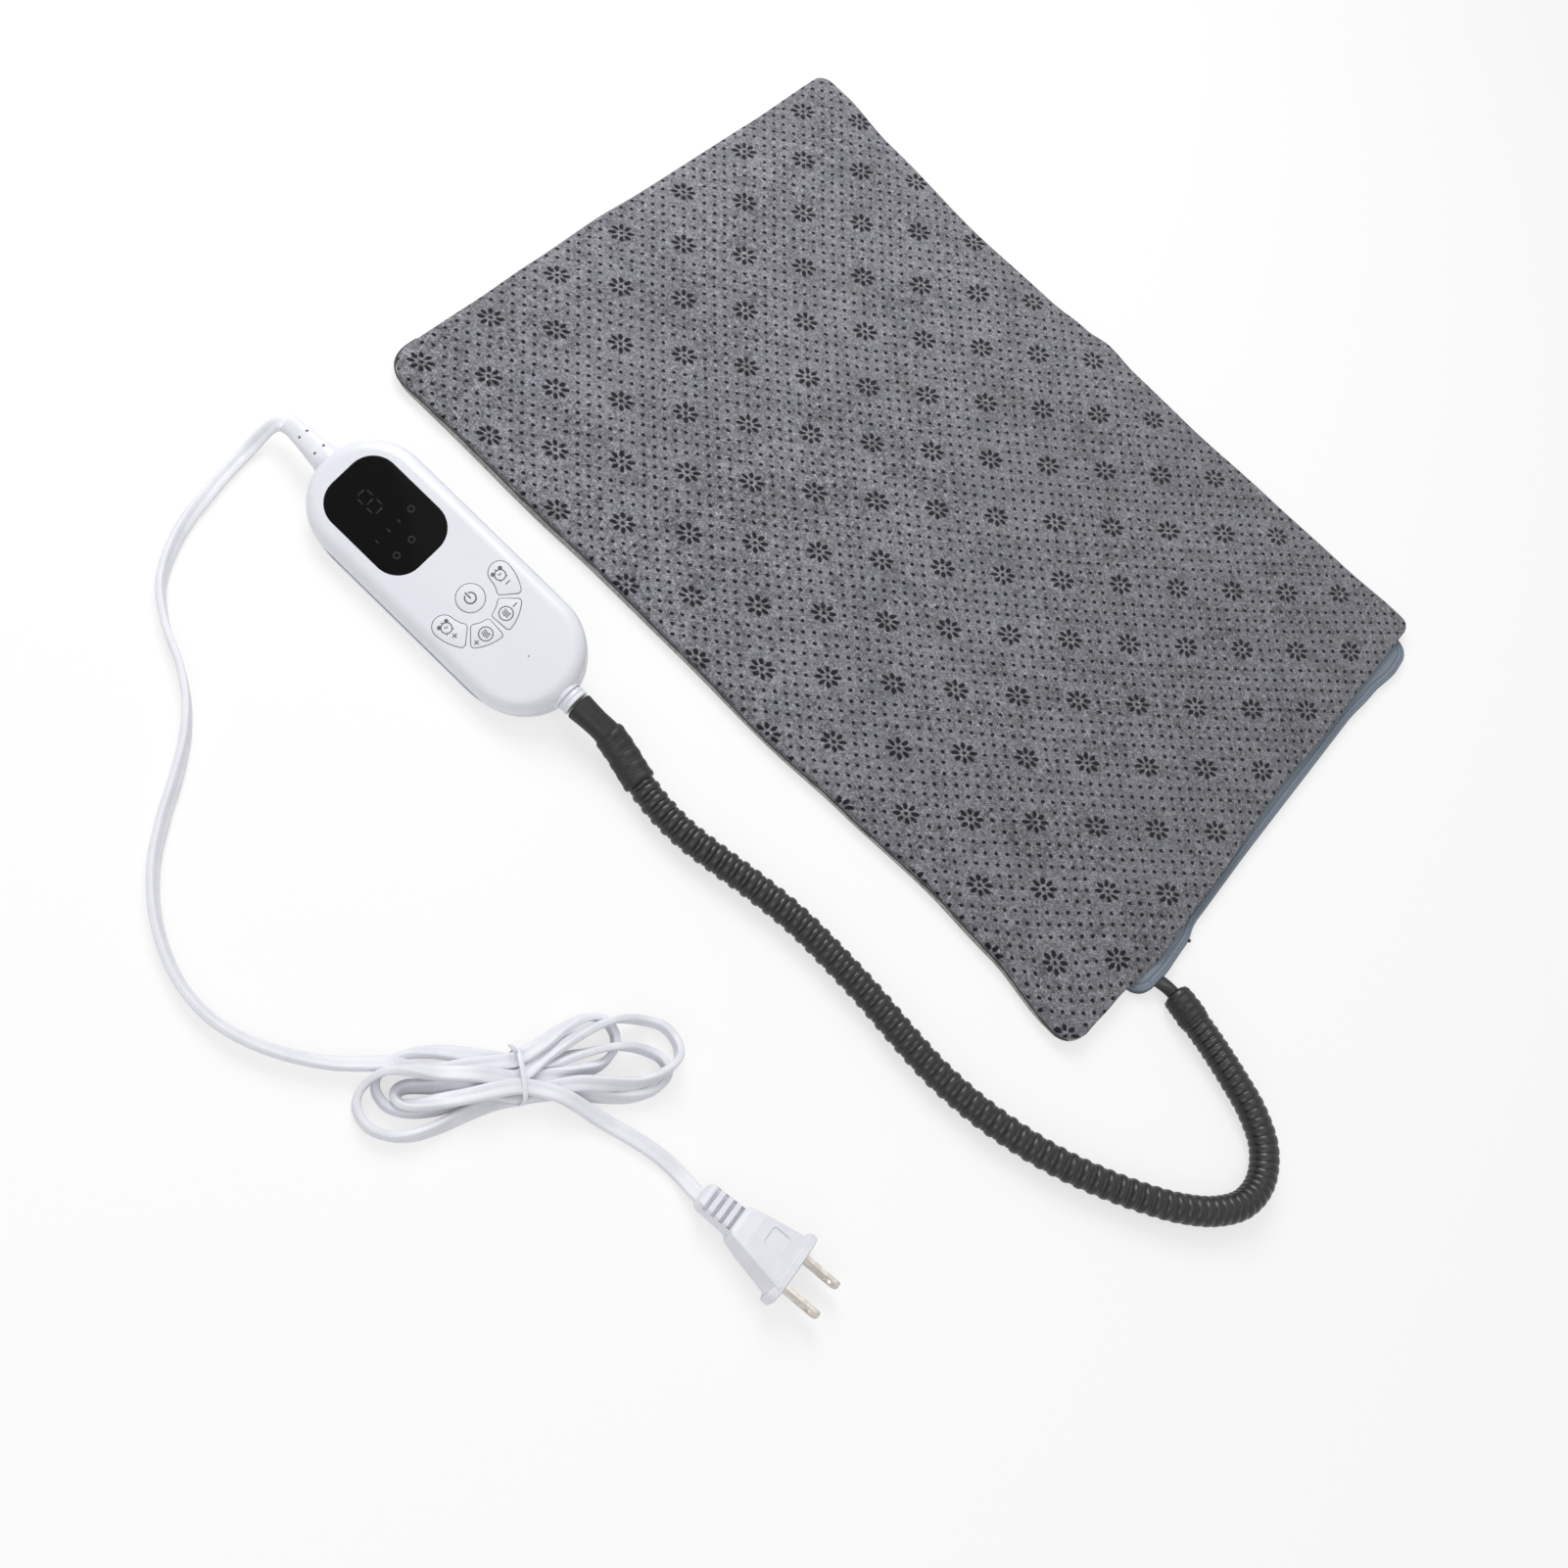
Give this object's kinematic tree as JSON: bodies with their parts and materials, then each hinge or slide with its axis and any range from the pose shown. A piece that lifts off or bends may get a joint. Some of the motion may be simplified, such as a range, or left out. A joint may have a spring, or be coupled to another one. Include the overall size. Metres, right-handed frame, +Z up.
{
  "type": "heating pad with controller",
  "caption": "Flat electric heating pad in a punched felt cover, with a hand controller on a ribbed conduit, a tied flat mains lead and a two-blade plug.",
  "frame": {"origin": "on the surface that the pad lies on, under the middle of its cover", "axes": "+X along the pad to its open end, where the cable leaves it; +Y across the pad, away from the controller; +Z up"},
  "size_m": [0.4868, 0.5351, 0.0294],
  "materials": {
    "felt_patterned": "grey mottled felt, punched with dots and daisies",
    "felt_plain": "light grey napped felt",
    "pad_sheet": "blue-grey coated sheet with a welded rim",
    "tack": "dark thread",
    "wadding": "white needled wadding",
    "wire": "insulated heating wire",
    "sensor": "small encapsulated part",
    "black_plastic": "black moulded plastic",
    "black_rubber": "black satin rubber",
    "conduit": "black semi-gloss ribbed plastic",
    "white_plastic": "white plastic with a soft sheen",
    "white_key": "white satin plastic with grey symbols",
    "white_rubber": "white satin vinyl",
    "lens": "black gloss lens",
    "screw": "plain steel",
    "board": "green circuit board",
    "component": "black electronic part",
    "capacitor": "yellow electronic part",
    "blade": "nickel-plated brass"
  },
  "bodies": {
    "pad_and_controller": {"cover_top_panel": "felt_patterned", "cover_back_panel": "felt_plain", "inner_pad_bottom_sheet": "pad_sheet", "inner_pad_top_sheet": "pad_sheet", "rim_tack": "tack", "wadding_lower": "wadding", "wadding_upper": "wadding", "heating_wire": "wire", "temperature_sensor": "sensor", "thermal_cutout": "sensor", "pad_cable_gland": "black_plastic", "pad_cable": "black_rubber", "conduit_hose": "conduit", "conduit_sleeve_controller": "black_rubber", "conduit_sleeve_pad": "black_rubber", "conduit_boot": "black_rubber", "conduit_bush": "white_plastic", "upper_shell": "white_plastic", "lower_shell": "white_plastic", "display_lens": "lens", "housing_screw_1": "screw", "housing_screw_2": "screw", "housing_screw_3": "screw", "housing_screw_4": "screw", "circuit_board": "board", "tact_switch_power": "component", "tact_switch_heat_minus": "component", "tact_switch_timer_minus": "component", "tact_switch_heat_plus": "component", "tact_switch_timer_plus": "component", "display_module": "component", "film_capacitor": "capacitor", "electrolytic_capacitor": "component", "triac": "component", "control_chip": "component", "fuse": "capacitor", "output_terminal": "board", "mains_strain_relief": "white_rubber", "mains_lead_run": "white_rubber", "mains_lead_hank": "white_rubber", "mains_lead_tail": "white_rubber", "cord_tie": "white_rubber", "plug_body": "white_plastic", "plug_blade_left": "blade", "plug_blade_right": "blade"},
    "power_key": {"key_power": "white_key"},
    "heat_minus_key": {"key_heat_minus": "white_key"},
    "timer_minus_key": {"key_timer_minus": "white_key"},
    "heat_plus_key": {"key_heat_plus": "white_key"},
    "timer_plus_key": {"key_timer_plus": "white_key"}
  },
  "joints": [
    {"name": "power_key_travel", "type": "slide", "parent": "pad_and_controller", "child": "power_key", "axis": [0, 0.4226, -0.9063], "range_m": [0, 0.0005], "stiffness_N_per_m": 400},
    {"name": "heat_minus_key_travel", "type": "slide", "parent": "pad_and_controller", "child": "heat_minus_key", "axis": [0, 0.4226, -0.9063], "range_m": [0, 0.0005], "stiffness_N_per_m": 400},
    {"name": "timer_minus_key_travel", "type": "slide", "parent": "pad_and_controller", "child": "timer_minus_key", "axis": [0, 0.4226, -0.9063], "range_m": [0, 0.0005], "stiffness_N_per_m": 400},
    {"name": "heat_plus_key_travel", "type": "slide", "parent": "pad_and_controller", "child": "heat_plus_key", "axis": [0, 0.4226, -0.9063], "range_m": [0, 0.0005], "stiffness_N_per_m": 400},
    {"name": "timer_plus_key_travel", "type": "slide", "parent": "pad_and_controller", "child": "timer_plus_key", "axis": [0, 0.4226, -0.9063], "range_m": [0, 0.0005], "stiffness_N_per_m": 400}
  ]
}
